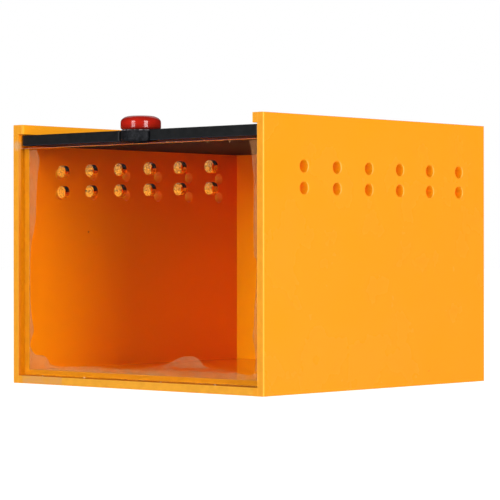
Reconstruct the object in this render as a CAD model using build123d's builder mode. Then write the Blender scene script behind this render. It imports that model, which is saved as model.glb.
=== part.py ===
from build123d import *
import os

# Small acrylic enclosure for a reptile or an insect: four orange sheets and a clear front window,
# cemented together, closed by a black lid that slides in grooves and is locked by a thumb screw.
# Millimetres. The origin is the centre of the underside, +X right, +Y to the back, +Z up.

# Outside of the box
box_width = 100.0
box_depth = 100.0
box_height = 76.8
edge_round = 0.25

# Sheets
panel_sheet = 4.0
window_sheet = 3.0
lid_sheet = 3.0

# Rebate for the window and groove for the lid, both cut into the orange sheets
cut_depth = 1.68
window_recess = 0.85
cement_film = 0.1
lip_height = 2.8
lid_play_above = 0.35
lid_play_below = 0.1
lid_play_side = 0.2
lid_play_back = 0.3

# Lid
lid_inset = 0.9
lid_corner = 1.15
lid_arris = 0.15
window_gap = 0.83
window_arris = 0.15

# Vents
vent_diameter = 3.5
vent_rows = 2
vent_columns = 6
vent_row_pitch = 6.0
vent_row_depth = 14.25
side_vent_pitch = 14.1
window_vent_pitch = 11.83
window_vent_shift = -0.4

# Lid lock: a bush in the lid's front edge, and a screw with a pad that bears on the window's top
lock_inset = 2.7
bush_diameter = 11.36
bush_hang = 0.35
bush_bevel = 0.5
bush_arris = 0.15
bush_film = 0.05
screw_diameter = 4.0
screw_pitch = 0.7
running_gap = 0.05
pad_gap = 0.15
pad_diameter = 4.1
pad_height = 1.2
pad_room = 0.25
pad_arris = 0.2
tip_diameter = 2.0
tip_length = 0.8
tip_gap = 0.05

# Knob, moulded on the screw's head
knob_diameter = 11.55
knob_height = 3.85
knob_gap = 0.2
knob_crown_width = 2.9
knob_crown_height = 1.9
knob_bevel = 0.4
head_diameter = 5.6
head_height = 1.3
head_cover = 0.9

# Places that follow from these sizes
front_y = -box_depth / 2
back_y = box_depth / 2
inner_x = box_width / 2 - panel_sheet
inner_back_y = back_y - panel_sheet
groove_x = inner_x + cut_depth
groove_back_y = inner_back_y + cut_depth
rebate_floor_z = panel_sheet - cut_depth
groove_top_z = box_height - lip_height
groove_height = lid_sheet + lid_play_above + lid_play_below
groove_bottom_z = groove_top_z - groove_height
lid_bottom_z = groove_bottom_z + lid_play_below
lid_top_z = lid_bottom_z + lid_sheet
window_front_y = front_y + window_recess
window_back_y = window_front_y + window_sheet
shoulder_y = window_back_y + cement_film
window_bottom_z = rebate_floor_z + cement_film
window_top_z = lid_bottom_z - window_gap
vent_centre_z = box_height - vent_row_depth - (vent_rows - 1) * vent_row_pitch / 2
side_vent_centre_y = (shoulder_y + back_y) / 2
lid_front_y = front_y + lid_inset
lid_back_y = groove_back_y - lid_play_back
lock_y = lid_front_y + lock_inset
bush_bottom_z = lid_bottom_z - bush_hang
pad_bottom_z = window_top_z + pad_gap
pad_top_z = pad_bottom_z + pad_height
bush_recess_top_z = pad_top_z + screw_pitch
stud_bottom_z = pad_top_z + tip_gap
tip_bottom_z = stud_bottom_z - tip_length
knob_bottom_z = lid_top_z + knob_gap
knob_top_z = knob_bottom_z + knob_height
head_top_z = knob_top_z - head_cover
head_bottom_z = head_top_z - head_height
lock_axis = Axis((0, lock_y, 0), (0, 0, 1))
lock_section = Plane(origin=(0, lock_y, 0), x_dir=(1, 0, 0), z_dir=(0, -1, 0))

os.makedirs("parts", exist_ok=True)

# Left wall: the rebate and the groove are open at the front, and the groove stops with the lid
with BuildPart() as left_wall:
    with BuildSketch(Plane.YZ.offset(-box_width / 2)):
        Rectangle(box_depth, box_height, align=(Align.CENTER, Align.MIN))
    extrude(amount=panel_sheet)
    fillet(left_wall.edges().group_by(Axis.X)[0], edge_round)
    with BuildSketch(Plane.YZ.offset(-inner_x)):
        with Locations((front_y, rebate_floor_z)):
            Rectangle(shoulder_y - front_y, groove_top_z - rebate_floor_z, align=(Align.MIN, Align.MIN))
        with Locations((front_y, groove_bottom_z)):
            Rectangle(groove_back_y - front_y, groove_height, align=(Align.MIN, Align.MIN))
    extrude(amount=-cut_depth, mode=Mode.SUBTRACT)
    with BuildSketch(Plane.YZ.offset(-box_width / 2)):
        with Locations((side_vent_centre_y, vent_centre_z)):
            with GridLocations(side_vent_pitch, vent_row_pitch, vent_columns, vent_rows):
                Circle(vent_diameter / 2)
    extrude(amount=panel_sheet, mode=Mode.SUBTRACT)
left_wall.part.label = "left_wall"
export_step(left_wall.part, "parts/left_wall.step")

# Right wall: the left wall's mirror image
with BuildPart() as right_wall:
    mirror(left_wall.part, about=Plane.YZ)
right_wall.part.label = "right_wall"
export_step(right_wall.part, "parts/right_wall.step")

# Floor: between the side walls, with the window's rebate along its front edge
with BuildPart() as floor_panel:
    with BuildSketch():
        Rectangle(2 * inner_x, box_depth)
    extrude(amount=panel_sheet)
    fillet(floor_panel.edges().filter_by(Axis.X).group_by(Axis.Z)[0], edge_round)
    with BuildSketch(Plane.XY.offset(panel_sheet)):
        with Locations((0, front_y)):
            Rectangle(2 * inner_x, shoulder_y - front_y, align=(Align.CENTER, Align.MIN))
    extrude(amount=-cut_depth, mode=Mode.SUBTRACT)
floor_panel.part.label = "floor_panel"
export_step(floor_panel.part, "parts/floor_panel.step")

# Back wall: stands on the floor between the side walls, and its groove takes the lid's rear edge
with BuildPart() as back_wall:
    with BuildSketch(Plane.XY.offset(panel_sheet)):
        with Locations((0, inner_back_y)):
            Rectangle(2 * inner_x, panel_sheet, align=(Align.CENTER, Align.MIN))
    extrude(amount=box_height - panel_sheet)
    fillet(back_wall.edges().filter_by(Axis.X).group_by(Axis.Z)[-1].sort_by(Axis.Y)[-1], edge_round)
    with BuildSketch(Plane.XY.offset(groove_bottom_z)):
        with Locations((0, inner_back_y)):
            Rectangle(2 * inner_x, cut_depth, align=(Align.CENTER, Align.MIN))
    extrude(amount=groove_height, mode=Mode.SUBTRACT)
back_wall.part.label = "back_wall"
export_step(back_wall.part, "parts/back_wall.step")

# Front window: clear sheet in the rebate, a cement film away from the sheets round it
with BuildPart() as front_window:
    with BuildSketch(Plane.XZ.offset(-window_front_y)):
        with Locations((0, window_bottom_z)):
            Rectangle(
                2 * (groove_x - cement_film),
                window_top_z - window_bottom_z,
                align=(Align.CENTER, Align.MIN),
            )
        with Locations((window_vent_shift, vent_centre_z)):
            with GridLocations(window_vent_pitch, vent_row_pitch, vent_columns, vent_rows):
                Circle(vent_diameter / 2, mode=Mode.SUBTRACT)
    extrude(amount=-window_sheet)
    chamfer(front_window.edges().filter_by(Axis.X), window_arris)
    chamfer(front_window.edges().filter_by(Axis.Z), window_arris)
front_window.part.label = "front_window"
export_step(front_window.part, "parts/front_window.step")

# Lid: its front edge has an open round seat for the lock's bush
with BuildPart() as lid:
    with BuildSketch(Plane.XY.offset(lid_bottom_z)):
        with Locations((0, lid_front_y)):
            Rectangle(
                2 * (groove_x - lid_play_side),
                lid_back_y - lid_front_y,
                align=(Align.CENTER, Align.MIN),
            )
        with Locations((0, lock_y)):
            Circle(bush_diameter / 2 + bush_film, mode=Mode.SUBTRACT)
    extrude(amount=lid_sheet)
    fillet(lid.edges().filter_by(Axis.Z).group_by(Axis.Y)[0], lid_corner)
    fillet(lid.edges().filter_by(Axis.Z).group_by(Axis.Y)[-1], lid_corner)
    chamfer(lid.faces().sort_by(Axis.Z)[-1].edges(), lid_arris)
lid.part.label = "lid"
export_step(lid.part, "parts/lid.step")

# Lock bush: cemented in the lid's seat, bored for the screw and recessed below for the pad
with BuildPart() as lock_bush:
    with BuildSketch(Plane.XY.offset(bush_bottom_z)):
        with Locations((0, lock_y)):
            Circle(bush_diameter / 2)
    extrude(amount=lid_top_z - bush_bottom_z)
    chamfer(lock_bush.edges().group_by(Axis.Z)[0], bush_bevel)
    chamfer(lock_bush.edges().group_by(Axis.Z)[-1], bush_arris)
    with BuildSketch(Plane.XY.offset(bush_bottom_z)):
        with Locations((0, lock_y)):
            Circle(pad_diameter / 2 + pad_room)
    extrude(amount=bush_recess_top_z - bush_bottom_z, mode=Mode.SUBTRACT)
    with BuildSketch(Plane.XY.offset(bush_bottom_z)):
        with Locations((0, lock_y)):
            Circle(screw_diameter / 2 + running_gap)
    extrude(amount=lid_top_z - bush_bottom_z, mode=Mode.SUBTRACT)
lock_bush.part.label = "lock_bush"
export_step(lock_bush.part, "parts/lock_bush.step")

# Lock pad: hangs on the screw's tip, does not turn, and bears on the window's top edge
with BuildPart() as lock_pad:
    with BuildSketch(Plane.XY.offset(pad_bottom_z)):
        with Locations((0, lock_y)):
            Circle(pad_diameter / 2)
    extrude(amount=pad_height)
    chamfer(lock_pad.edges().group_by(Axis.Z)[0], pad_arris)
    with BuildSketch(Plane.XY.offset(pad_top_z)):
        with Locations((0, lock_y)):
            Circle(tip_diameter / 2 + tip_gap)
    extrude(amount=-tip_length, mode=Mode.SUBTRACT)
lock_pad.part.label = "lock_pad"
export_step(lock_pad.part, "parts/lock_pad.step")

# Lock stud: the screw's tip, shank and head as one turned piece
with BuildPart() as lock_stud:
    with BuildSketch(lock_section):
        with BuildLine():
            Polyline(
                (0, tip_bottom_z),
                (tip_diameter / 2, tip_bottom_z),
                (tip_diameter / 2, stud_bottom_z),
                (screw_diameter / 2, stud_bottom_z),
                (screw_diameter / 2, head_bottom_z),
                (head_diameter / 2, head_bottom_z),
                (head_diameter / 2, head_top_z),
                (0, head_top_z),
                close=True,
            )
        make_face()
    revolve(axis=lock_axis)
lock_stud.part.label = "lock_stud"
export_step(lock_stud.part, "parts/lock_stud.step")

# Lock knob: a round button with a full crown, moulded on the screw's head and shank
with BuildPart() as lock_knob:
    with BuildSketch(lock_section):
        with BuildLine():
            crown_x = knob_diameter / 2 - knob_crown_width
            crown_z = knob_top_z - knob_crown_height
            EllipticalCenterArc((crown_x, crown_z), knob_crown_width, knob_crown_height, arc_size=90)
            Polyline(
                (crown_x, knob_top_z),
                (0, knob_top_z),
                (0, knob_bottom_z),
                (knob_diameter / 2, knob_bottom_z),
                (knob_diameter / 2, crown_z),
            )
        make_face()
    revolve(axis=lock_axis)
    chamfer(lock_knob.edges().group_by(Axis.Z)[0], knob_bevel)
    add(lock_stud.part, mode=Mode.SUBTRACT)
lock_knob.part.label = "lock_knob"
export_step(lock_knob.part, "parts/lock_knob.step")
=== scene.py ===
import math

import bmesh
import bpy
from mathutils import Matrix, Vector, noise as field


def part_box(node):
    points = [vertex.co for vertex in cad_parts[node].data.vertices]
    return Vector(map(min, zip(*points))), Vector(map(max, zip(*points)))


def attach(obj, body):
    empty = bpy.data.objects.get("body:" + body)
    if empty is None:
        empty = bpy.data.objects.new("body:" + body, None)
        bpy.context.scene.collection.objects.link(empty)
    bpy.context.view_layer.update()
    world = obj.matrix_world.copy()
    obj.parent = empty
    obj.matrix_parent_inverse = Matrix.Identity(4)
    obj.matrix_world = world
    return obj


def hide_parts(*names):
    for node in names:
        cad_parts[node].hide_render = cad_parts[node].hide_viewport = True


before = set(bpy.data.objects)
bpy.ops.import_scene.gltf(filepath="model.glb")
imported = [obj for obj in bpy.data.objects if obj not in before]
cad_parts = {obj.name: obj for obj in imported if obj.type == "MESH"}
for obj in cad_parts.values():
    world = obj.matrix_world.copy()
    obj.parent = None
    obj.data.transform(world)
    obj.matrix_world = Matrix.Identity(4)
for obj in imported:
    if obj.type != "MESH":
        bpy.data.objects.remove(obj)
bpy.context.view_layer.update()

scene = bpy.context.scene
MM = 0.001

# Places read from the frame
WALL_LOW, WALL_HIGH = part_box("left_wall")
FLOOR_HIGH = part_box("floor_panel")[1]
WINDOW_LOW, WINDOW_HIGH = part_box("front_window")
LID_LOW, LID_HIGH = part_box("lid")
BUSH_LOW, BUSH_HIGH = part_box("lock_bush")
STUD_LOW, STUD_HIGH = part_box("lock_stud")
KNOB_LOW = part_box("lock_knob")[0]
OUTER_X = -WALL_LOW.x
INNER_X = -WALL_HIGH.x
BACK_FACE_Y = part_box("back_wall")[0].y
FRONT_Y = WALL_LOW.y
BACK_Y = WALL_HIGH.y
TOP_Z = WALL_HIGH.z
LOCK_PLACE = (BUSH_LOW + BUSH_HIGH) / 2

# Tolerances that tell one face from the next
SKIN = 0.3 * MM
HAIR = 0.05 * MM

# The window's rebate, the lid's groove, and the bands that carry painted highlights along the
# edges and a painted glint on the bush's top arris
CEMENT_GAP = 0.1 * MM
SHOULDER_Y = WINDOW_HIGH.y + CEMENT_GAP
REBATE_X = WINDOW_HIGH.x + CEMENT_GAP
REBATE_Z = WINDOW_LOW.z - CEMENT_GAP
GROOVE_LOW = LID_LOW.z - 0.15 * MM
ARRIS = 0.3 * MM
LIP_ARRIS = 0.25 * MM
LIP_ARRIS_LENGTH = 0.8 * MM
BUSH_GLINT_BAND = 0.14 * MM

# Vents of the walls and of the window, with the part of their mouths that carries a painted
# highlight and the side of their haze that is painted lit
VENT_RADIUS = 1.75 * MM
VENT_ARRIS = 0.1 * MM
VENT_LIT = 0.15 * MM
LIT_START = 0.5 * VENT_RADIUS
VENT_COLUMNS = 6
VENT_ROWS = 2
VENT_PITCH = 14.1 * MM
VENT_ROW_PITCH = 6.0 * MM
VENT_CENTRE_Y = (SHOULDER_Y + BACK_Y) / 2
VENT_CENTRE_Z = TOP_Z - 17.25 * MM
WINDOW_VENT_PITCH = 11.83 * MM
WINDOW_VENT_SHIFT = -0.4 * MM
WINDOW_MARGIN = 1.0 * MM
HAZE_START = -0.6 * VENT_RADIUS
HAZE_END = 0.1 * VENT_RADIUS

# Heights and depths over which the orange sheets change their tone and their painted glow; the
# tone's change with depth from the window is painted shade
NEAR_TONE_DEPTH = 60.0 * MM
NEAR_GLOW_DEPTH = 30.0 * MM
GLOW_HEIGHT = 70.0 * MM
DULL_LOW_Z = 46.0 * MM
DULL_HIGH_Z = 62.0 * MM

# Marks seen on the real sheets; a speck has a place, a radius, a fade and a colour
PALE_END_X = -29.0 * MM
PALE_TOP_PLACE = (-48.3 * MM, FRONT_Y, 70.6 * MM)
PALE_TOP_RADIUS = 0.9 * MM
SPECKS = [
    ((OUTER_X, 22.7 * MM, 4.1 * MM), 0.10 * MM, 0.12 * MM, (0.16, 0.05, 0.002)),
    ((-INNER_X, -21.3 * MM, 45.1 * MM), 0.18 * MM, 0.15 * MM, (0.05, 0.02, 0.004)),
]

# The lid's edge around the bush, darkened there as painted shade, and the knob's foot above its
# lower edge, darkened as painted shade
SEAT_REACH = 6.6 * MM
SEAT_FADE = 0.3 * MM
KNOB_FOOT_LOW = 0.15 * MM
KNOB_FOOT_HIGH = 1.5 * MM
KNOB_FOOT_SHARE = 0.75

# The film of cement: its hold in the joints, its cover from thin to thick, its gap, the fading
# over its foot, its nearly solid joints and the wedge at the right; pairs say from and to
FILM_HOLD = 0.3 * MM
FILM_CLEARANCE = 0.01 * MM
FILM_THIN = 0.14
FILM_THICK = 0.38
FILM_WAVE = 0.3 * MM
FILM_GAP_X = 12.0 * MM
FILM_GAP_FADE_X = 2.0 * MM
FILM_GAP_Z = 6.3 * MM
FILM_GAP_HALF = 0.3 * MM
FILM_GAP_FADE_Z = 0.2 * MM
FILM_GAP_SHARE = 0.8
FILM_FOOT_X = (-35.0 * MM, 9.0 * MM)
FILM_FOOT_FADE = 3.0 * MM
FILM_FOOT_Z = (4.4 * MM, 5.9 * MM)
FILM_FOOT_SHARES = (-0.3, 0.8)
FILM_JOINT_X = -45.6 * MM
FILM_JOINT_FADE = 0.25 * MM
FILM_JOINT_SHARE = 0.92
WEDGE_X = (41.0 * MM, 42.0 * MM)
WEDGE_Z = (54.0 * MM, 58.0 * MM)
WEDGE_SHARE = 0.22

# Refraction, the light that the window passes and how far its sawn edge is frosted
ACRYLIC_IOR = 1.49
NYLON_IOR = 1.53
KNOB_IOR = 1.5
CEMENT_IOR = 1.45
WINDOW_LIGHT = 0.9
SAWN_COVER = 0.95


# Shader helpers
def plug(tree, socket, value):
    """Links a socket to an output, or sets it to a number, a vector or a colour without alpha."""
    if hasattr(value, "is_output"):
        tree.links.new(value, socket)
    elif socket.type == "RGBA":
        socket.default_value = (*value, 1.0)
    else:
        socket.default_value = value


def node(tree, kind, **inputs):
    """A shader node whose input sockets are set by name, or by number as s0, s1 and so on."""
    made = tree.nodes.new(kind)
    for key, value in inputs.items():
        numbered = key[0] == "s" and key[1:].isdigit()
        socket = made.inputs[int(key[1:])] if numbered else made.inputs[key.replace("_", " ")]
        plug(tree, socket, value)
    return made


def calc(tree, operation, *values):
    """A Math node on sockets or numbers."""
    made = tree.nodes.new("ShaderNodeMath")
    made.operation = operation
    for socket, value in zip(made.inputs, values):
        plug(tree, socket, value)
    return made.outputs[0]


def both(tree, *masks):
    """1 where every mask is 1."""
    result = masks[0]
    for mask in masks[1:]:
        result = calc(tree, "MULTIPLY", result, mask)
    return result


def either(tree, *masks):
    """1 where any mask is 1."""
    result = masks[0]
    for mask in masks[1:]:
        result = calc(tree, "MAXIMUM", result, mask)
    return result


def inverse(tree, mask):
    """1 where the mask is 0."""
    return calc(tree, "SUBTRACT", 1.0, mask)


def above(tree, value, limit):
    """1 where a value is greater than a limit."""
    return calc(tree, "GREATER_THAN", value, limit)


def below(tree, value, limit):
    """1 where a value is less than a limit."""
    return calc(tree, "LESS_THAN", value, limit)


def between(tree, value, low, high):
    """1 where a value lies between two sizes."""
    return calc(tree, "COMPARE", value, (low + high) / 2, (high - low) / 2)


def spread(tree, value, start, end, low=0.0, high=1.0):
    """The value's course from start to end, as low to high, held at both ends."""
    made = node(tree, "ShaderNodeMapRange", s0=value, s1=start, s2=end, s3=low, s4=high)
    return made.outputs[0]


def fall(tree, value, start, end):
    """1 up to the start, falling to 0 at the end."""
    return spread(tree, value, start, end, 1.0, 0.0)


def plateau(tree, value, low, high, fade):
    """1 where a value lies between two sizes, fading out beyond both."""
    return both(
        tree,
        spread(tree, value, low - fade, low),
        fall(tree, value, high, high + fade),
    )


def cell(tree, value, middle, pitch):
    """A value counted in pitches from the middle, and its distance from its own cell's centre."""
    count = calc(tree, "DIVIDE", calc(tree, "SUBTRACT", value, middle), pitch)
    share = calc(tree, "SUBTRACT", calc(tree, "FRACT", count), 0.5)
    return count, calc(tree, "MULTIPLY", share, pitch)


def length(tree, along, across):
    """The length of a slanting line, from its two sides."""
    square = calc(tree, "ADD", calc(tree, "POWER", along, 2.0), calc(tree, "POWER", across, 2.0))
    return calc(tree, "SQRT", square)


def here(tree):
    """The shaded point in the frame, in metres."""
    known = tree.nodes.get("Texture Coordinate")
    return (known or tree.nodes.new("ShaderNodeTexCoord")).outputs["Object"]


def place(tree):
    """The shaded point's X, Y and Z in the frame, in metres."""
    return node(tree, "ShaderNodeSeparateXYZ", Vector=here(tree)).outputs


def near(tree, centre, radius, fade):
    """1 within a radius of a place in the frame, fading out over a width."""
    away = tree.nodes.new("ShaderNodeVectorMath")
    away.operation = "DISTANCE"
    plug(tree, away.inputs[0], here(tree))
    plug(tree, away.inputs[1], centre)
    return fall(tree, away.outputs["Value"], radius, radius + fade)


def noise(tree, scale, detail=2.0, roughness=0.5, vector=None):
    """Noise in the frame's metres, or on another vector where one is named."""
    made = node(
        tree, "ShaderNodeTexNoise", Scale=scale, Detail=detail, Roughness=roughness,
        Vector=vector or here(tree),
    )
    return made.outputs["Fac"]


def streaks(tree, scales, detail=3.0, roughness=0.6):
    """Noise with a scale of its own along X, Y and Z, for marks that run one way."""
    drawn_out = node(tree, "ShaderNodeMapping", Vector=here(tree), Scale=scales)
    return noise(tree, 1.0, detail, roughness, drawn_out.outputs["Vector"])


def ramp(tree, factor, *stops):
    """A colour ramp on a factor; each stop is a place and a colour."""
    made = node(tree, "ShaderNodeValToRGB", Fac=factor)
    elements = made.color_ramp.elements
    while len(elements) < len(stops):
        elements.new(0.5)
    for element, (position, colour) in zip(elements, stops):
        element.position = position
        element.color = (*colour, 1.0)
    return made.outputs["Color"]


def mixed(tree, factor, first, second):
    """Two colours mixed by a factor."""
    made = tree.nodes.new("ShaderNodeMix")
    made.data_type = "RGBA"
    for socket, value in ((0, factor), (6, first), (7, second)):
        plug(tree, made.inputs[socket], value)
    return made.outputs[2]


def blended(tree, factor, first, second):
    """Two values mixed by a factor."""
    return node(tree, "ShaderNodeMix", Factor=factor, s2=first, s3=second).outputs[0]


def layered(tree, base, layers, mix=mixed):
    """A colour or value with each layer's own laid over it where the layer's mask is 1."""
    for mask, value in layers:
        base = mix(tree, mask, base, value)
    return base


def bump(tree, height, distance, under=None):
    """The normal that a height gives, over another bump's normal where one is named."""
    made = node(tree, "ShaderNodeBump", Height=height, Distance=distance)
    if under is not None:
        plug(tree, made.inputs["Normal"], under)
    return made.outputs["Normal"]


def principled(tree, **inputs):
    """A Principled shader with its inputs set by name."""
    return node(tree, "ShaderNodeBsdfPrincipled", **inputs)


def covered(tree, factor, first, second):
    """A shader with another laid over it by a factor."""
    return node(
        tree, "ShaderNodeMixShader", Fac=factor, s1=first.outputs[0], s2=second.outputs[0]
    )


def new_material(name):
    """A material with an empty node tree; returns both."""
    material = bpy.data.materials.new(name)
    material.use_nodes = True
    material.node_tree.nodes.clear()
    return material, material.node_tree


def surfaced(material, shader):
    """The material with a shader set as its surface."""
    tree = material.node_tree
    output = tree.nodes.new("ShaderNodeOutputMaterial")
    tree.links.new(shader.outputs[0], output.inputs["Surface"])
    return material


# Materials
class SheetZones:
    """The orange sheets' zones, each 1 inside and 0 outside, and the measures taken there."""

    def __init__(self, tree):
        x, y, z = place(tree)
        self.x, self.y, self.z = x, y, z
        wide = calc(tree, "ABSOLUTE", x)
        self.skin = either(
            tree,
            above(tree, wide, OUTER_X - SKIN),
            above(tree, calc(tree, "ABSOLUTE", y), BACK_Y - SKIN),
            above(tree, z, GROOVE_LOW),
            below(tree, z, SKIN),
        )
        # The back wall's inner face, which gets painted light and a painted glow.
        self.back_face = between(tree, y, BACK_FACE_Y - HAIR, BACK_FACE_Y + HAIR)
        self.floor_top = between(tree, z, FLOOR_HIGH.z - HAIR, FLOOR_HIGH.z + HAIR)
        # The lips' inner faces above the lid, which get a painted glow.
        self.lip_face = both(
            tree,
            between(tree, wide, INNER_X - HAIR, INNER_X + HAIR),
            above(tree, z, LID_HIGH.z),
        )

        self.rim = below(tree, y, FRONT_Y + HAIR)
        self.floor_rim = both(tree, self.rim, below(tree, wide, INNER_X + HAIR))
        # Thin bands that carry painted highlights: along the rim by the rebate, down the outer
        # front corners and on the lips' front edges.
        self.arris = both(tree, self.rim, between(tree, wide, REBATE_X, REBATE_X + ARRIS))
        self.outer_arris = both(
            tree,
            above(tree, wide, OUTER_X - ARRIS),
            below(tree, y, FRONT_Y + ARRIS),
        )
        self.lip_arris = both(
            tree,
            above(tree, z, LID_HIGH.z),
            between(tree, wide, INNER_X - HAIR, INNER_X + LIP_ARRIS),
            below(tree, y, FRONT_Y + LIP_ARRIS_LENGTH),
        )

        in_sheet = either(
            tree,
            between(tree, wide, INNER_X + HAIR, REBATE_X + HAIR),
            both(
                tree,
                between(tree, z, REBATE_Z - HAIR, FLOOR_HIGH.z - HAIR),
                below(tree, wide, REBATE_X),
            ),
        )
        rebate = both(tree, in_sheet, below(tree, z, WINDOW_HIGH.z + HAIR))
        self.recess = both(tree, between(tree, y, FRONT_Y + HAIR, SHOULDER_Y - HAIR), rebate)
        self.shoulder = both(tree, between(tree, y, SHOULDER_Y - HAIR, SHOULDER_Y + HAIR), rebate)

        # The vents' bores, painted lighter towards the outer mouth as if lit through it.
        self.bore = both(
            tree,
            between(tree, wide, INNER_X + HAIR, OUTER_X - HAIR),
            between(tree, y, SHOULDER_Y + SKIN, BACK_Y - SKIN),
            between(tree, z, FLOOR_HIGH.z + SKIN, WINDOW_HIGH.z),
        )
        self.bore_depth = spread(tree, wide, OUTER_X, INNER_X)
        column, off_y = cell(tree, y, VENT_CENTRE_Y, VENT_PITCH)
        row, off_z = cell(tree, z, VENT_CENTRE_Z, VENT_ROW_PITCH)
        self.vent_distance = length(tree, off_y, off_z)
        self.mouth = both(
            tree,
            between(tree, column, -VENT_COLUMNS / 2, VENT_COLUMNS / 2),
            between(tree, row, -VENT_ROWS / 2, VENT_ROWS / 2),
            above(tree, wide, OUTER_X - HAIR),
        )
        # The back part of each vent's outer mouth, which carries a painted highlight.
        self.lit_mouth = both(
            tree,
            self.mouth,
            spread(tree, off_y, LIT_START, VENT_RADIUS),
            fall(tree, self.vent_distance, VENT_RADIUS + VENT_LIT, VENT_RADIUS + 3 * VENT_LIT),
        )


def sheet_colour(tree, at):
    """The orange sheets' colour, zone by zone, with painted light and shade on the inner faces,
    the bores and the edges.
    """
    cloud = noise(tree, 9.0, 3.0)
    wisp = noise(tree, 420.0, 3.0)
    body = ramp(tree, cloud, (0.3, (0.91, 0.278, 0.0068)), (0.7, (0.93, 0.288, 0.0076)))
    # Painted light and shade on the inner faces: a deeper orange than outside, for the light
    # tinted by the sheets, and a duller red near the window, where more light falls.
    cabin = ramp(tree, cloud, (0.3, (0.94, 0.212, 0.0003)), (0.7, (0.96, 0.222, 0.0005)))
    shaded_by_window = ramp(tree, cloud, (0.3, (0.87, 0.224, 0.0004)), (0.7, (0.89, 0.234, 0.0006)))
    depth = spread(tree, at.y, SHOULDER_Y, SHOULDER_Y + NEAR_TONE_DEPTH)
    sawn = ramp(tree, wisp, (0.35, (0.63, 0.246, 0.0036)), (0.65, (0.69, 0.268, 0.0048)))
    sawn_low = ramp(tree, wisp, (0.35, (0.60, 0.254, 0.0080)), (0.65, (0.67, 0.288, 0.0110)))
    cemented = ramp(tree, wisp, (0.35, (0.53, 0.188, 0.0026)), (0.65, (0.59, 0.212, 0.0040)))
    dull_low = ramp(tree, wisp, (0.35, (0.56, 0.152, 0.0030)), (0.65, (0.61, 0.168, 0.0040)))
    dull = mixed(tree, spread(tree, at.z, DULL_LOW_Z, DULL_HIGH_Z), dull_low, (0.68, 0.24, 0.022))
    # Painted light: the bores are lighter and yellower towards the outer mouth, where the light
    # comes in.
    bore_painted_light = ramp(
        tree, at.bore_depth,
        (0.0, (1.0, 0.48, 0.008)), (0.4, (1.0, 0.35, 0.003)),
        (0.7, (1.0, 0.26, 0.002)), (1.0, (1.0, 0.22, 0.004)),
    )
    pale_low = both(
        tree,
        at.floor_rim,
        below(tree, at.x, PALE_END_X),
        spread(tree, wisp, 0.35, 0.6, 0.35, 1.0),
    )
    pale_top = both(
        tree,
        near(tree, PALE_TOP_PLACE, PALE_TOP_RADIUS, PALE_TOP_RADIUS),
        spread(tree, wisp, 0.3, 0.6, 0.5, 1.0),
    )
    specks = [(near(tree, centre, radius, fade), tone) for centre, radius, fade, tone in SPECKS]
    return layered(tree, mixed(tree, depth, shaded_by_window, cabin), [
        # Painted light: the back wall's inner face is made lighter, for the light let through the
        # sheet from behind.
        (at.back_face, (1.0, 0.355, 0.002)),
        (at.skin, body),
        (at.rim, sawn),
        (at.floor_rim, sawn_low),
        (at.recess, dull),
        (at.shoulder, cemented),
        (at.bore, bore_painted_light),
        # Painted highlight beside each vent's mouth.
        (at.lit_mouth, (1.0, 0.46, 0.090)),
        # Painted highlights on the edges by the rebate, the outer front corners and the lips.
        (at.arris, (0.70, 0.29, 0.014)),
        (at.outer_arris, (0.80, 0.38, 0.030)),
        (at.lip_arris, (0.90, 0.37, 0.030)),
        (pale_low, (0.56, 0.250, 0.055)),
        (pale_top, (0.57, 0.29, 0.100)),
        *specks,
    ])


def sheet_roughness(tree, at):
    """The orange sheets' roughness: smudged outside, sawn rims and dull rebates."""
    smudge = noise(tree, 60.0, 4.0)
    return layered(tree, 0.34, [
        (at.floor_top, 0.1),
        (at.skin, spread(tree, smudge, 0.3, 0.7, 0.20, 0.32)),
        (at.rim, 0.5),
        (either(tree, at.recess, at.shoulder), 1.0),
    ], blended)


def sheet_relief(tree, at):
    """The orange sheets' relief: bevelled vents, saw marks on the rims and waves outside."""
    bevel = spread(tree, at.vent_distance, VENT_RADIUS, VENT_RADIUS + VENT_ARRIS)
    relief = bump(tree, either(tree, bevel, inverse(tree, at.mouth)), VENT_ARRIS)
    saw_marks = both(tree, at.rim, streaks(tree, (1400.0, 1400.0, 160.0), roughness=0.5))
    relief = bump(tree, saw_marks, 0.012 * MM, relief)
    return bump(tree, both(tree, at.skin, noise(tree, 90.0)), 0.008 * MM, relief)


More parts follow.
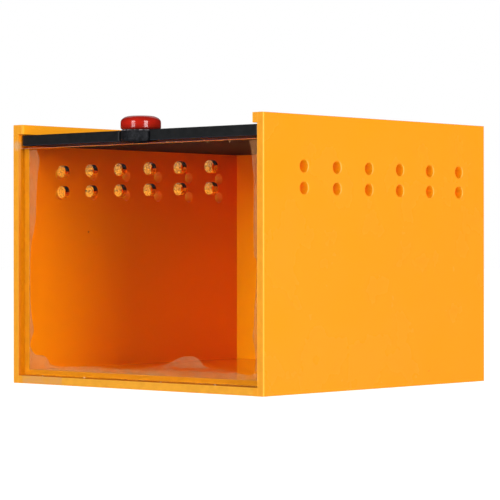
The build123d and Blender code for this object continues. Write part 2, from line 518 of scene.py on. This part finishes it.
def sheet_glow(tree, at):
    """A painted glow on the inner faces, by height and depth, standing in for the faint light that
    the sheets let through.
    """
    rise = spread(tree, at.z, 0.0, GLOW_HEIGHT)
    near_glow = ramp(
        tree, rise,
        (0.0, (0.0, 0.05, 0.0)), (0.25, (0.0, 0.03, 0.0)), (0.52, (0.0, 0.002, 0.0)),
        (0.74, (0.08, 0.004, 0.0)), (0.94, (0.125, 0.002, 0.0)), (1.0, (0.05, 0.0, 0.0)),
    )
    deep_glow = ramp(
        tree, rise,
        (0.68, (0.0, 0.0, 0.0)), (0.80, (0.05, 0.0, 0.0)),
        (0.92, (0.06, 0.0, 0.0)), (1.0, (0.0, 0.0, 0.0)),
    )
    back_glow = ramp(
        tree, rise,
        (0.05, (0.0, 0.025, 0.0)), (0.40, (0.0, 0.018, 0.0)), (0.50, (0.05, 0.020, 0.0)),
        (0.62, (0.115, 0.028, 0.0)), (0.80, (0.16, 0.013, 0.0)), (0.92, (0.14, 0.004, 0.0)),
        (1.0, (0.09, 0.0, 0.0)),
    )
    dark = (0.0, 0.0, 0.0)
    depth = spread(tree, at.y, SHOULDER_Y, SHOULDER_Y + NEAR_GLOW_DEPTH)
    # Painted glow deep in each bore, towards the inner mouth.
    bore_glow = mixed(tree, spread(tree, at.bore_depth, 0.5, 1.0), dark, (0.06, 0.01, 0.0))
    return layered(tree, mixed(tree, depth, near_glow, deep_glow), [
        (at.back_face, back_glow),
        (at.bore, bore_glow),
        (either(tree, at.skin, at.rim, at.recess, at.shoulder), dark),
        (at.lip_face, (0.13, 0.10, 0.003)),
    ])


def orange_acrylic():
    """Cast acrylic sheet: polished faces, sawn rims, cemented rebates and vents, with painted
    highlights on the vents' mouths and the edges, painted light and shade on the inner faces and
    the bores, and a faint painted glow on the inner faces in place of the light the sheets let
    through."""
    material, tree = new_material("orange_acrylic")
    at = SheetZones(tree)
    shader = principled(
        tree,
        Base_Color=sheet_colour(tree, at),
        Roughness=sheet_roughness(tree, at),
        IOR=ACRYLIC_IOR,
        Specular_IOR_Level=spread(tree, either(tree, at.skin, at.rim), 0.0, 1.0, 0.1, 0.3),
        Normal=sheet_relief(tree, at),
        # Painted glow: the inner faces emit light in place of the light that the sheets let
        # through.
        Emission_Color=sheet_glow(tree, at),
        Emission_Strength=1.0,
    )
    return surfaced(material, shader)


def clear_acrylic():
    """Clear cast sheet: polished faces, cemented side and lower edges, a finely sawn top edge and
    vents with a frosted haze, painted lit and orange on one side of each bore. It lets most light
    through to the cabin."""
    material, tree = new_material("clear_acrylic")
    x, y, z = place(tree)
    top_edge = above(tree, z, WINDOW_HIGH.z - HAIR)
    cemented = both(
        tree,
        below(tree, z, WINDOW_HIGH.z - HAIR),
        either(
            tree,
            above(tree, calc(tree, "ABSOLUTE", x), WINDOW_HIGH.x - HAIR),
            below(tree, z, WINDOW_LOW.z + HAIR),
        ),
    )
    drilled = both(
        tree,
        between(tree, y, WINDOW_LOW.y + HAIR, WINDOW_HIGH.y - HAIR),
        between(tree, x, WINDOW_LOW.x + WINDOW_MARGIN, WINDOW_HIGH.x - WINDOW_MARGIN),
        between(tree, z, WINDOW_LOW.z + WINDOW_MARGIN, WINDOW_HIGH.z - WINDOW_MARGIN),
    )
    off_x = cell(tree, x, WINDOW_VENT_SHIFT, WINDOW_VENT_PITCH)[1]
    rings = streaks(tree, (250.0, 2600.0, 1400.0))
    # The haze: frosted bores, painted lit only on the left side of each vent.
    haze_painted_lit = both(
        tree,
        drilled,
        fall(tree, off_x, HAZE_START, HAZE_END),
        spread(tree, rings, 0.36, 0.6, 0.15, 0.6),
    )

    grain = noise(tree, 900.0, 3.0)
    glass = principled(
        tree,
        Base_Color=(1.0, 1.0, 1.0),
        Roughness=both(tree, top_edge, spread(tree, grain, 0.3, 0.7, 0.3, 0.5)),
        IOR=ACRYLIC_IOR,
        Normal=bump(tree, both(tree, top_edge, grain), 0.01 * MM),
        Transmission_Weight=1.0,
    )
    wisp = noise(tree, 420.0, 3.0)
    cement = ramp(tree, wisp, (0.35, (0.58, 0.168, 0.001)), (0.65, (0.63, 0.186, 0.002)))
    frosted = ramp(tree, grain, (0.35, (0.13, 0.125, 0.19)), (0.65, (0.18, 0.175, 0.26)))
    # Over the haze the coat is a bright orange, painted light on the bores' lit side.
    coat = layered(tree, cement, [(top_edge, frosted), (drilled, (1.0, 0.46, 0.075))])
    coated = covered(
        tree,
        either(tree, cemented, calc(tree, "MULTIPLY", top_edge, SAWN_COVER), haze_painted_lit),
        glass,
        node(tree, "ShaderNodeBsdfDiffuse", Color=coat),
    )
    for_shadows = node(tree, "ShaderNodeBsdfTransparent", Color=(WINDOW_LIGHT,) * 3)
    is_shadow = tree.nodes.new("ShaderNodeLightPath").outputs["Is Shadow Ray"]
    return surfaced(material, covered(tree, is_shadow, coated, for_shadows))


def black_acrylic():
    """Black sheet: scratches from sliding on top, sawn edges, painted shade on the edge around the
    bush and a dull underside.
    """
    material, tree = new_material("black_acrylic")
    z = place(tree)["Z"]
    under = below(tree, z, LID_LOW.z + HAIR)
    edge = between(tree, z, LID_LOW.z + HAIR, LID_HIGH.z - HAIR)
    # Painted shade: the lid's edge around the bush is made darker and less shiny.
    seat_shade = both(tree, edge, near(tree, LOCK_PLACE, SEAT_REACH, SEAT_FADE))
    scratches = streaks(tree, (900.0, 14.0, 300.0), 4.0)
    saw_marks = streaks(tree, (1500.0, 1500.0, 120.0))
    grain = noise(tree, 700.0, 3.0)
    black = ramp(tree, grain, (0.35, (0.0050, 0.0060, 0.0068)), (0.7, (0.009, 0.010, 0.0115)))
    slid = spread(tree, scratches, 0.35, 0.7, 0.24, 0.32)
    relief = bump(tree, scratches, 0.0008 * MM)
    shader = principled(
        tree,
        Base_Color=layered(tree, black, [
            (under, (0.031, 0.048, 0.068)),
            (seat_shade, (0.003, 0.0035, 0.004)),
        ]),
        Roughness=layered(tree, slid, [(edge, 0.48), (under, 0.62)], blended),
        IOR=ACRYLIC_IOR,
        Specular_IOR_Level=spread(tree, either(tree, seat_shade, under), 0.0, 1.0, 0.32, 0.08),
        Normal=bump(tree, both(tree, edge, saw_marks), 0.02 * MM, relief),
    )
    return surfaced(material, shader)


def turned_black():
    """Black bush: a grainy turned side and a painted glint along its top arris."""
    material, tree = new_material("turned_black")
    grain = noise(tree, 1500.0, 4.0, 0.65)
    rings = streaks(tree, (60.0, 60.0, 4000.0), 2.0, 0.5)
    black = ramp(tree, grain, (0.4, (0.0045, 0.005, 0.006)), (0.75, (0.024, 0.025, 0.030)))
    # Painted glint: a pale band, broken up by the grain, just below the top arris.
    top_glint = both(
        tree,
        spread(tree, place(tree)["Z"], BUSH_HIGH.z - 2 * BUSH_GLINT_BAND, BUSH_HIGH.z - BUSH_GLINT_BAND),
        spread(tree, grain, 0.46, 0.6, 0.05, 1.0),
    )
    shader = principled(
        tree,
        Base_Color=mixed(tree, top_glint, black, (0.26, 0.22, 0.23)),
        Roughness=spread(tree, grain, 0.3, 0.7, 0.38, 0.6),
        IOR=ACRYLIC_IOR,
        Specular_IOR_Level=0.08,
        Normal=bump(tree, grain, 0.03 * MM, bump(tree, rings, 0.02 * MM)),
    )
    return surfaced(material, shader)


def dark_nylon():
    """Nylon pad: dull and faintly mottled."""
    material, tree = new_material("dark_nylon")
    mottle = noise(tree, 1100.0, 3.0)
    shader = principled(
        tree,
        Base_Color=ramp(tree, mottle, (0.35, (0.028, 0.027, 0.026)), (0.7, (0.045, 0.043, 0.041))),
        Roughness=spread(tree, mottle, 0.3, 0.7, 0.4, 0.62),
        IOR=NYLON_IOR,
        Normal=bump(tree, mottle, 0.015 * MM),
    )
    return surfaced(material, shader)


def turned_steel():
    """Plain steel with turning rings."""
    material, tree = new_material("turned_steel")
    rings = streaks(tree, (90.0, 90.0, 9000.0))
    shader = principled(
        tree,
        Base_Color=ramp(tree, rings, (0.3, (0.42, 0.41, 0.40)), (0.7, (0.58, 0.57, 0.55))),
        Metallic=1.0,
        Roughness=spread(tree, rings, 0.3, 0.7, 0.22, 0.4),
        Normal=bump(tree, rings, 0.01 * MM),
    )
    return surfaced(material, shader)


def red_plastic():
    """Glossy moulded red, darkened towards its lower edge by painted shade."""
    material, tree = new_material("red_plastic")
    flow = noise(tree, 260.0, 3.0)
    red = ramp(tree, flow, (0.3, (0.325, 0.0090, 0.0035)), (0.7, (0.375, 0.0110, 0.0045)))
    height = calc(tree, "SUBTRACT", place(tree)["Z"], KNOB_LOW.z)
    # Painted shade: darker towards the knob's lower edge.
    foot = spread(tree, height, KNOB_FOOT_LOW, KNOB_FOOT_HIGH, KNOB_FOOT_SHARE, 0.0)
    shader = principled(
        tree,
        Base_Color=mixed(tree, foot, red, (0.13, 0.004, 0.0012)),
        Roughness=spread(tree, noise(tree, 500.0, 4.0), 0.3, 0.7, 0.12, 0.15),
        IOR=KNOB_IOR,
        Normal=bump(tree, flow, 0.0004 * MM),
    )
    return surfaced(material, shader)


def dried_cement():
    """Solvent cement that has run out of the joint: a pale, uneven film with a gap, fading above
    its foot, and nearly solid in the joints with the left wall and the floor."""
    material, tree = new_material("dried_cement")
    x, _, z = place(tree)
    streak = streaks(tree, (160.0, 160.0, 90.0))
    wave = spread(tree, noise(tree, 220.0), 0.3, 0.7, -FILM_WAVE, FILM_WAVE)
    height = calc(tree, "ADD", z, wave)
    gap = both(
        tree,
        plateau(
            tree, height, FILM_GAP_Z - FILM_GAP_HALF, FILM_GAP_Z + FILM_GAP_HALF, FILM_GAP_FADE_Z
        ),
        spread(tree, x, FILM_GAP_X, FILM_GAP_X + FILM_GAP_FADE_X, 0.0, FILM_GAP_SHARE),
    )
    over_foot = both(
        tree,
        plateau(tree, x, *FILM_FOOT_X, FILM_FOOT_FADE),
        spread(tree, height, *FILM_FOOT_Z, *FILM_FOOT_SHARES),
    )
    film = both(
        tree,
        spread(tree, streak, 0.3, 0.72, FILM_THIN, FILM_THICK),
        inverse(tree, gap),
        inverse(tree, over_foot),
    )
    wedge = both(tree, spread(tree, x, *WEDGE_X), spread(tree, z, *WEDGE_Z))
    joint = either(
        tree,
        fall(tree, x, FILM_JOINT_X, FILM_JOINT_X + FILM_JOINT_FADE),
        below(tree, z, FLOOR_HIGH.z + HAIR),
    )
    tone = ramp(tree, streak, (0.3, (0.47, 0.200, 0.075)), (0.7, (0.52, 0.245, 0.098)))
    shader = principled(
        tree,
        Base_Color=mixed(tree, joint, tone, (0.58, 0.215, 0.006)),
        Alpha=either(
            tree,
            film,
            calc(tree, "MULTIPLY", wedge, WEDGE_SHARE),
            calc(tree, "MULTIPLY", joint, FILM_JOINT_SHARE),
        ),
        Roughness=0.45,
        IOR=CEMENT_IOR,
        Specular_IOR_Level=0.1,
        Normal=bump(tree, streak, 0.02 * MM),
    )
    return surfaced(material, shader)


def bead_cement():
    """A bead of cement, set hard and pale."""
    material, tree = new_material("bead_cement")
    grain = noise(tree, 2500.0, 3.0)
    shader = principled(
        tree,
        Base_Color=ramp(tree, grain, (0.3, (0.62, 0.36, 0.15)), (0.7, (0.74, 0.48, 0.26))),
        Roughness=0.25,
        IOR=CEMENT_IOR,
        Normal=bump(tree, grain, 0.02 * MM),
    )
    return surfaced(material, shader)


def dress(name, material):
    """Gives a node of the frame its material."""
    for slot in bpy.data.objects[name].material_slots:
        slot.material = material


# Scene helpers
def mesh_of(shape, name):
    """A mesh made of a bmesh, which is freed."""
    mesh = bpy.data.meshes.new(name)
    shape.to_mesh(mesh)
    shape.free()
    return mesh


def add_object(name, data):
    """An object of a mesh, a camera or a light, linked to the scene."""
    made = bpy.data.objects.new(name, data)
    scene.collection.objects.link(made)
    return made


# New pieces
def finish_piece(mesh, name, material, body):
    """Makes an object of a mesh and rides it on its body."""
    piece = add_object(name, mesh)
    mesh.materials.append(material)
    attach(piece, body)
    return piece


def smooth_line(points, steps):
    """Points of a Catmull-Rom curve through given points."""
    line = []
    padded = [points[0], *points, points[-1]]
    for before, start, end, after in zip(padded, padded[1:], padded[2:], padded[3:]):
        for step in range(steps):
            t = step / steps
            line.append(0.5 * (
                2 * start + (end - before) * t
                + (2 * before - 5 * start + 4 * end - after) * t ** 2
                + (3 * start - before - 3 * end + after) * t ** 3
            ))
    line.append(points[-1])
    return line


def make_cement_film():
    """The film of cement behind the window's edges, with the runs that spread into the cabin."""
    # Its inner edge in x and z, in mm: down the left side, along the floor and up the right side
    run_out = [
        (-42.4, 69.4), (-41.2, 66.3), (-41.9, 62.0), (-42.5, 56.0), (-42.9, 49.0), (-43.5, 45.6),
        (-44.5, 42.6), (-45.1, 38.0), (-45.2, 30.0), (-45.1, 24.0), (-44.6, 19.7), (-43.8, 15.6),
        (-45.2, 12.0), (-44.4, 9.6), (-42.6, 8.5), (-39.4, 8.3), (-37.5, 7.1), (-36.0, 5.7),
        (-32.0, 5.4), (-25.0, 5.6), (-19.0, 5.9), (-11.0, 5.6), (-3.0, 5.6), (3.4, 6.2),
        (10.5, 7.2), (15.0, 8.9), (17.6, 9.7), (21.5, 9.9), (23.7, 9.1), (25.3, 7.7),
        (27.5, 6.9), (32.0, 6.6), (36.5, 6.2), (40.0, 5.6), (43.4, 5.6), (44.6, 7.5),
        (44.7, 11.0), (44.3, 13.5), (43.7, 16.0), (44.1, 18.5), (44.3, 22.0), (44.7, 27.0),
        (45.1, 32.0), (45.2, 36.5), (44.3, 38.0), (44.1, 42.0), (44.1, 48.0), (44.2, 56.0),
        (44.1, 60.0), (43.8, 61.6), (43.6, 63.7), (43.2, 67.0), (42.4, 69.4),
    ]
    steps_per_point = 6
    inner = smooth_line([Vector((x * MM, z * MM)) for x, z in run_out], steps_per_point)
    edge_x = INNER_X + FILM_HOLD
    low_z = FLOOR_HIGH.z - FILM_HOLD
    top_z = run_out[0][1] * MM
    outer = [
        Vector(corner)
        for corner in ((edge_x, top_z), (edge_x, low_z), (-edge_x, low_z), (-edge_x, top_z))
    ]
    near_y = WINDOW_HIGH.y + FILM_CLEARANCE
    thickness = CEMENT_GAP - 2 * FILM_CLEARANCE
    film = bmesh.new()
    verts = [film.verts.new((p.x, near_y, p.y)) for p in inner + outer]
    edges = [film.edges.new(pair) for pair in zip(verts, verts[1:] + verts[:1])]
    bmesh.ops.triangle_fill(film, use_beauty=True, edges=edges)
    grown = bmesh.ops.extrude_face_region(film, geom=film.faces[:])
    moved = [part for part in grown["geom"] if isinstance(part, bmesh.types.BMVert)]
    bmesh.ops.translate(film, verts=moved, vec=(0.0, thickness, 0.0))
    bmesh.ops.recalc_face_normals(film, faces=film.faces[:])
    mesh = mesh_of(film, "window_cement")
    finish_piece(mesh, "window_cement", dried_cement(), "box")


def make_stud():
    """The screw with its rolled thread: tip, threaded shank and head, inside the plain solid."""
    pitch = 0.7 * MM
    thread_depth = 0.36 * MM
    break_in = 0.25 * MM
    shank_radius = 2.0 * MM
    tip_radius = 1.0 * MM
    tip_end_radius = 0.82 * MM
    tip_length = 0.8 * MM
    tip_chamfer = 0.18 * MM
    head_radius = (STUD_HIGH.x - STUD_LOW.x) / 2
    head_height = 1.3 * MM
    head_arris = 0.25 * MM
    around = 48
    rows_per_turn = 12
    shank_low = STUD_LOW.z + tip_length
    shank_high = STUD_HIGH.z - head_height

    def plain(radius):
        return lambda z, angle: radius

    def threaded(z, angle):
        turn = (z / pitch - angle / math.tau) % 1.0
        cut = thread_depth * (0.5 - abs(turn - 0.5)) * 2
        lead = min(1.0, (z - shank_low) / pitch)
        return shank_radius - cut - (1.0 - lead) * break_in

    count = round((shank_high - shank_low) / pitch * rows_per_turn)
    rows = [
        (STUD_LOW.z, plain(tip_end_radius)),
        (STUD_LOW.z + tip_chamfer, plain(tip_radius)),
        (shank_low, plain(tip_radius)),
        *((shank_low + (shank_high - shank_low) * i / count, threaded) for i in range(count + 1)),
        (shank_high, plain(head_radius - head_arris)),
        (shank_high + head_arris, plain(head_radius)),
        (STUD_HIGH.z - head_arris, plain(head_radius)),
        (STUD_HIGH.z, plain(head_radius - head_arris)),
    ]
    angles = [math.tau * i / around for i in range(around)]
    stud = bmesh.new()
    rings = [
        [
            stud.verts.new((
                LOCK_PLACE.x + radius(z, angle) * math.cos(angle),
                LOCK_PLACE.y + radius(z, angle) * math.sin(angle),
                z,
            ))
            for angle in angles
        ]
        for z, radius in rows
    ]
    for low, high in zip(rings, rings[1:]):
        for i in range(around):
            j = (i + 1) % around
            stud.faces.new((low[i], low[j], high[j], high[i]))
    stud.faces.new(reversed(rings[0]))
    stud.faces.new(rings[-1])
    bmesh.ops.recalc_face_normals(stud, faces=stud.faces[:])
    mesh = mesh_of(stud, "threaded_stud")
    piece = finish_piece(mesh, "threaded_stud", turned_steel(), "knob")
    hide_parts("lock_stud")


def make_beads():
    """Small chips and beads of cement along the window's top and bottom edges."""
    # Each has its x, its height over the edge and its radius, in mm
    top_beads = [
        (13.0, 0.0, 0.12), (16.6, 0.0, 0.10), (18.9, -0.4, 0.09), (28.6, -0.5, 0.10),
        (37.0, -0.5, 0.11), (36.9, -0.8, 0.09), (27.3, 0.0, 0.10),
    ]
    low_beads = [(-20.4, 0.1, 0.24), (31.4, 0.0, 0.26), (10.5, 0.0, 0.16), (-38.0, 0.0, 0.14)]
    in_front = 0.02 * MM
    flattened = Vector((1.5, 0.7, 1.0))
    swelling = 0.35
    lumps = 6000.0
    variety = 900.0
    chips = bmesh.new()
    for edge_z, beads in ((WINDOW_HIGH.z, top_beads), (WINDOW_LOW.z, low_beads)):
        for x, rise, radius in beads:
            made = bmesh.ops.create_icosphere(chips, subdivisions=3, radius=radius * MM)
            centre = Vector((x * MM, WINDOW_LOW.y - in_front, edge_z + rise * MM))
            for vert in made["verts"]:
                swell = 1.0 + swelling * field.noise(vert.co * lumps + centre * variety)
                vert.co = vert.co * flattened * swell + centre
    mesh = mesh_of(chips, "cement_beads")
    for face in mesh.polygons:
        face.use_smooth = True
    finish_piece(mesh, "cement_beads", bead_cement(), "box")


# Camera: worked out from the box's corners and edges in the photograph
PHOTO_WIDTH = 500
FOCAL_PIXELS = 2293.20
CAMERA_PLACE = Vector((460.440, -510.700, 39.472)) * MM
CAMERA_YAW = math.radians(42.037)
CAMERA_PITCH = math.radians(0.005)
CAMERA_ROLL = math.radians(-0.049)
SENSOR = 36.0
CLIP_NEAR = 0.01
CLIP_FAR = 50.0


def make_camera():
    """The photograph's camera, in the frame."""
    data = bpy.data.cameras.new("camera")
    data.sensor_width = SENSOR
    data.lens = FOCAL_PIXELS / PHOTO_WIDTH * SENSOR
    data.clip_start = CLIP_NEAR
    data.clip_end = CLIP_FAR
    camera = add_object("camera", data)
    forward = Vector((
        -math.sin(CAMERA_YAW) * math.cos(CAMERA_PITCH),
        math.cos(CAMERA_YAW) * math.cos(CAMERA_PITCH),
        math.sin(CAMERA_PITCH),
    ))
    level = Vector((math.cos(CAMERA_YAW), math.sin(CAMERA_YAW), 0.0))
    upright = level.cross(forward)
    right = level * math.cos(CAMERA_ROLL) + upright * math.sin(CAMERA_ROLL)
    up = upright * math.cos(CAMERA_ROLL) - level * math.sin(CAMERA_ROLL)
    turn = Matrix((right, up, -forward)).transposed().to_4x4()
    camera.matrix_world = Matrix.Translation(CAMERA_PLACE) @ turn
    scene.camera = camera


# Studio: white surroundings, a pale floor, two upright softboxes and a weak one behind
WHITE = (1.0, 1.0, 1.0)
FILL_LIGHT = 0.33
GLOSSY_FILL = 0.02
CABIN_FILL = 0.6
VENT_FILL = 0.7
VENT_TINT = (1.0, 0.64, 0.28)
# Limits that lie between two whole numbers of bounces or passes
FIRST_BOUNCE = 0.5
VENT_PASSES = 5.5
# Name, azimuth to the right of the front and elevation in degrees, distance, width and height in
# metres, and power in watts
SOFTBOXES = [
    ("front_softbox", 1.0, 15.5, 1.2, 0.42, 0.47, 7.2),
    ("side_softbox", 73.0, 15.5, 1.2, 0.42, 0.47, 9.7),
    ("back_softbox", 222.0, 38.0, 1.2, 0.9, 0.7, 1.3),
]
LIGHT_AIM = Vector((0.0, 0.0, 0.04))
GROUND_RADIUS = 4.0
GROUND_SIDES = 96
GROUND_DROP = 0.05 * MM
GROUND_TONE = (0.25, 0.25, 0.25)
GROUND_GLOW = 0.97
LIGHT_BOUNCES = 40


def make_surroundings():
    """White for the camera and dimmer for the box, with more light for rays that come from
    within: those scattered in the cabin and those that passed through the window's vents."""
    world = bpy.data.worlds.new("studio")
    scene.world = world
    world.use_nodes = True
    tree = world.node_tree
    tree.nodes.clear()
    path = tree.nodes.new("ShaderNodeLightPath").outputs
    through_vents = both(
        tree,
        above(tree, path["Transmission Depth"], VENT_PASSES),
        below(tree, path["Diffuse Depth"], FIRST_BOUNCE),
    )
    in_cabin = both(tree, path["Is Glossy Ray"], above(tree, path["Diffuse Depth"], FIRST_BOUNCE))
    fill = spread(tree, path["Is Glossy Ray"], 0.0, 1.0, FILL_LIGHT, GLOSSY_FILL)
    strength = layered(tree, fill, [
        (in_cabin, CABIN_FILL), (through_vents, VENT_FILL), (path["Is Camera Ray"], 1.0),
    ], blended)
    tint = mixed(tree, through_vents, WHITE, VENT_TINT)
    back = node(tree, "ShaderNodeBackground", Color=tint, Strength=strength)
    output = tree.nodes.new("ShaderNodeOutputWorld")
    tree.links.new(back.outputs[0], output.inputs["Surface"])


def area_light(name, azimuth, elevation, distance, width, height, power):
    """An upright softbox, aimed at the box's middle."""
    data = bpy.data.lights.new(name, "AREA")
    data.shape = "RECTANGLE"
    data.size = width
    data.size_y = height
    data.energy = power
    light = add_object(name, data)
    turn, rise = math.radians(azimuth), math.radians(elevation)
    way = Vector((
        math.sin(turn) * math.cos(rise),
        -math.cos(turn) * math.cos(rise),
        math.sin(rise),
    ))
    light.location = LIGHT_AIM + way * distance
    light.rotation_euler = (LIGHT_AIM - light.location).to_track_quat("-Z", "Y").to_euler()


def white_ground():
    """The studio's floor: pale, and bright enough to be white in the picture."""
    material, tree = new_material("floor_white")
    shader = principled(
        tree,
        Base_Color=GROUND_TONE,
        Roughness=0.6,
        Emission_Color=WHITE,
        Emission_Strength=GROUND_GLOW,
    )
    return surfaced(material, shader)


def make_ground():
    """The floor that the box stands on, unseen by reflections and through the window."""
    ground = bmesh.new()
    bmesh.ops.create_circle(ground, cap_ends=True, radius=GROUND_RADIUS, segments=GROUND_SIDES)
    mesh = mesh_of(ground, "floor")
    mesh.materials.append(white_ground())
    floor = add_object("floor", mesh)
    floor.location.z = -GROUND_DROP
    floor.visible_glossy = False
    floor.visible_transmission = False


# The scene
orange = orange_acrylic()
for sheet in ("left_wall", "right_wall", "back_wall", "floor_panel"):
    dress(sheet, orange)
dress("front_window", clear_acrylic())
dress("lid", black_acrylic())
dress("lock_bush", turned_black())
dress("lock_pad", dark_nylon())
dress("lock_knob", red_plastic())
make_cement_film()
make_stud()
make_beads()
make_camera()
make_surroundings()
for softbox in SOFTBOXES:
    area_light(*softbox)
make_ground()
scene.view_settings.view_transform = "Standard"
scene.view_settings.look = "None"
scene.cycles.max_bounces = LIGHT_BOUNCES
scene.cycles.transmission_bounces = LIGHT_BOUNCES
scene.cycles.glossy_bounces = LIGHT_BOUNCES
